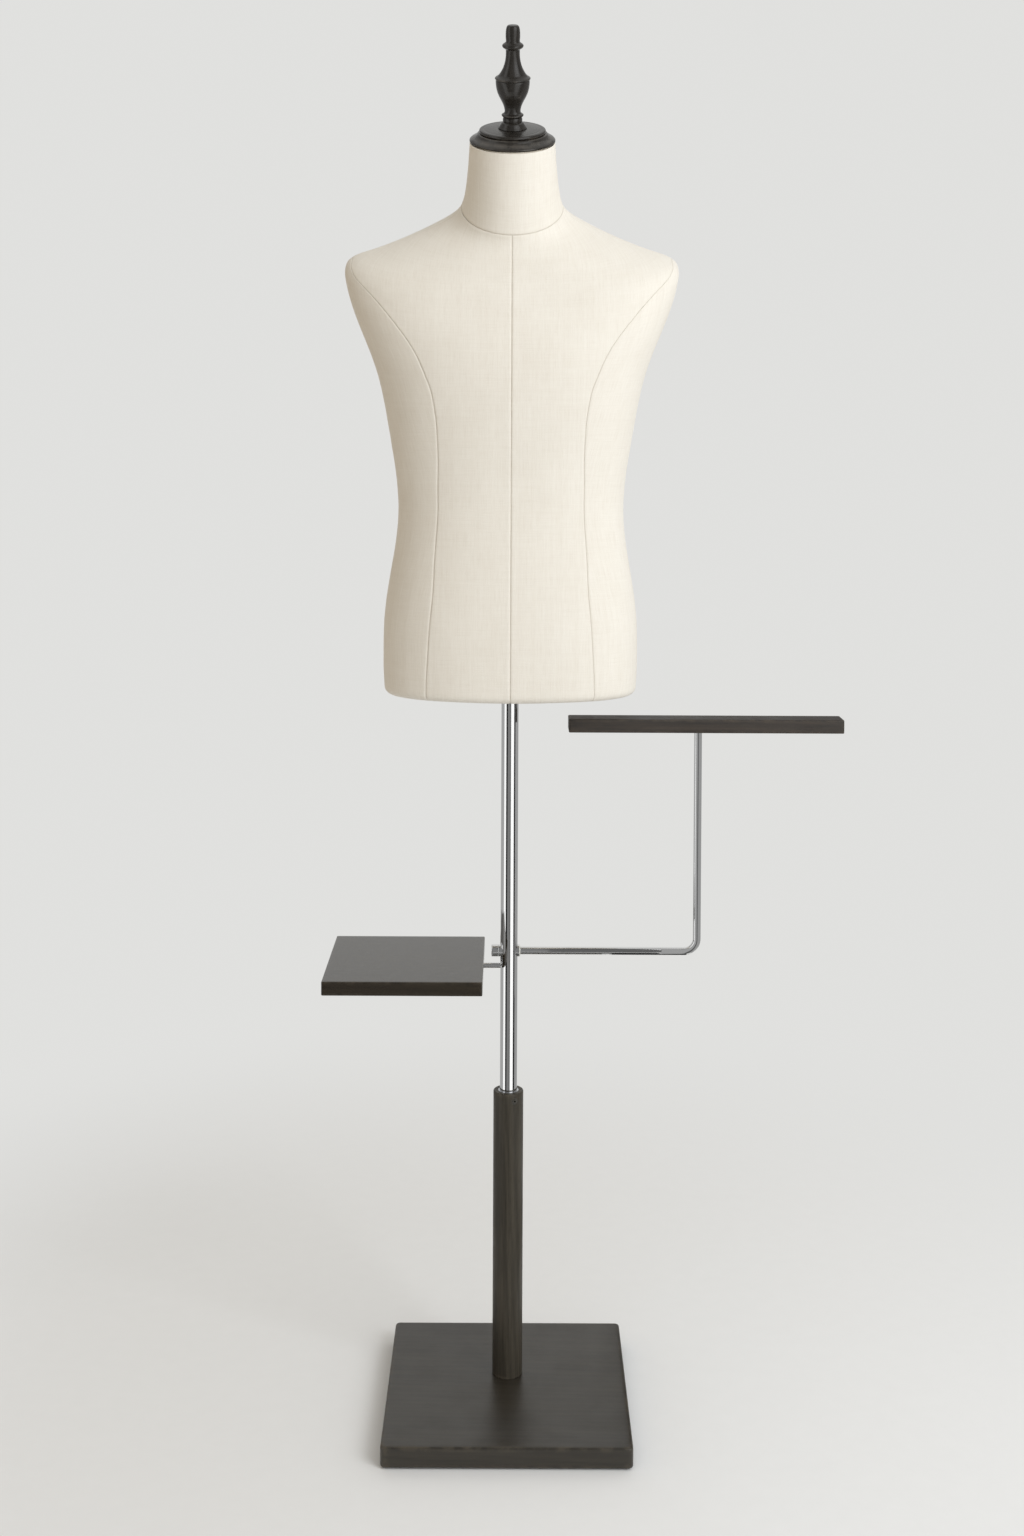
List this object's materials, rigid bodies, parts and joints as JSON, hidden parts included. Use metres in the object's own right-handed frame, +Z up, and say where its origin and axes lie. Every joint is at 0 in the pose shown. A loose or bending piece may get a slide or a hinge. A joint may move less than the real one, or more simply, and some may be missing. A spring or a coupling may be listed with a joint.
{
  "type": "dress form mannequin",
  "caption": "Armless neck-to-hip dress form with linen cover and turned finial, on a height-adjustable stand with side tray and swing-out display bar.",
  "frame": {"origin": "on the floor, under the axis of the column and pole, at the middle of the base's centre pad", "axes": "+Z up along the pole; the torso faces -Y; the display bar is on +X and the tray on -X"},
  "size_m": [0.648, 0.3, 1.7186],
  "materials": {
    "black_wood": "satin black stain",
    "bar_wood": "satin brown-black stain",
    "turned_wood": "satin black lacquer",
    "chrome": "polished",
    "linen": "natural linen weave",
    "moulded_shell": "bare moulding",
    "plain_wood": "unfinished",
    "steel": "zinc plated",
    "black_steel": "black oxide",
    "brass": "turned",
    "rubber": "matt",
    "nylon": "natural nylon",
    "black_plastic": "matt"
  },
  "bodies": {
    "base": {"base_board": "black_wood", "foot_pads": "rubber", "foot_screws": "steel", "centre_pad": "rubber", "ballast_plate": "steel", "ballast_screws": "steel", "liner_flange": "steel", "flange_screws": "steel", "column_liner": "steel", "column_sleeve": "black_wood", "lock_insert": "black_steel"},
    "lock_screw": {"height_lock_screw": "black_steel"},
    "pole_foot": {"pole_foot_bush": "nylon"},
    "pole": {"pole_tube": "chrome", "pole_top_plug": "black_plastic", "arm_block": "steel", "arm_saddle": "chrome", "nut_saddle": "chrome", "tray_grub_screw": "black_steel"},
    "arm": {"bar_arm": "chrome", "friction_washer": "nylon"},
    "arm_nut": {"arm_cap_nut": "chrome"},
    "bar": {"bar_board": "bar_wood", "bar_insert": "brass"},
    "tray": {"tray_board": "black_wood", "tray_rod": "chrome", "tray_sleeve": "steel", "tray_screws": "steel"},
    "torso": {"torso_shell_front": "moulded_shell", "torso_shell_back": "moulded_shell", "bottom_board": "plain_wood", "cover_underside": "linen", "socket_flange": "steel", "socket_screws": "steel", "socket_tube": "steel", "socket_stop": "black_plastic", "neck_block": "plain_wood", "cap_screws": "steel", "neck_cap_lower": "turned_wood", "neck_cap_upper": "turned_wood", "finial": "turned_wood", "finial_dowel": "plain_wood", "cover_front_left": "linen", "cover_front_right": "linen", "cover_side_left": "linen", "cover_side_right": "linen", "cover_back_left": "linen", "cover_back_right": "linen", "cover_neck": "linen"}
  },
  "joints": [
    {"name": "height_slide", "type": "slide", "parent": "base", "child": "pole_foot", "axis": [0, 0, 1], "range_m": [-0.14, 0.15]},
    {"name": "pole_swivel", "type": "hinge", "parent": "pole_foot", "child": "pole", "pos_m": [0, 0, 0.175], "axis": [0, 0, 1], "continuous": true},
    {"name": "torso_swivel", "type": "hinge", "parent": "pole", "child": "torso", "pos_m": [0, 0, 1.015], "axis": [0, 0, 1], "continuous": true},
    {"name": "arm_swing", "type": "hinge", "parent": "pole", "child": "arm", "pos_m": [0, 0, 0.569], "axis": [1, 0, 0], "continuous": true},
    {"name": "cap_nut_turn", "type": "hinge", "parent": "arm", "child": "arm_nut", "pos_m": [-0.018, 0, 0.569], "axis": [-1, 0, 0], "range_deg": [0, 720]},
    {"name": "bar_swivel", "type": "hinge", "parent": "arm", "child": "bar", "pos_m": [0.238, 0, 0.8495], "axis": [0, 0, 1], "continuous": true},
    {"name": "tray_tilt", "type": "hinge", "parent": "pole", "child": "tray", "pos_m": [0, 0, 0.55], "axis": [1, 0, 0], "range_deg": [-90, 90]},
    {"name": "lock_screw_turn", "type": "hinge", "parent": "base", "child": "lock_screw", "pos_m": [0.00423, -0.00906, 0.382], "axis": [0.4226, -0.9063, 0], "range_deg": [0, 720]}
  ]
}
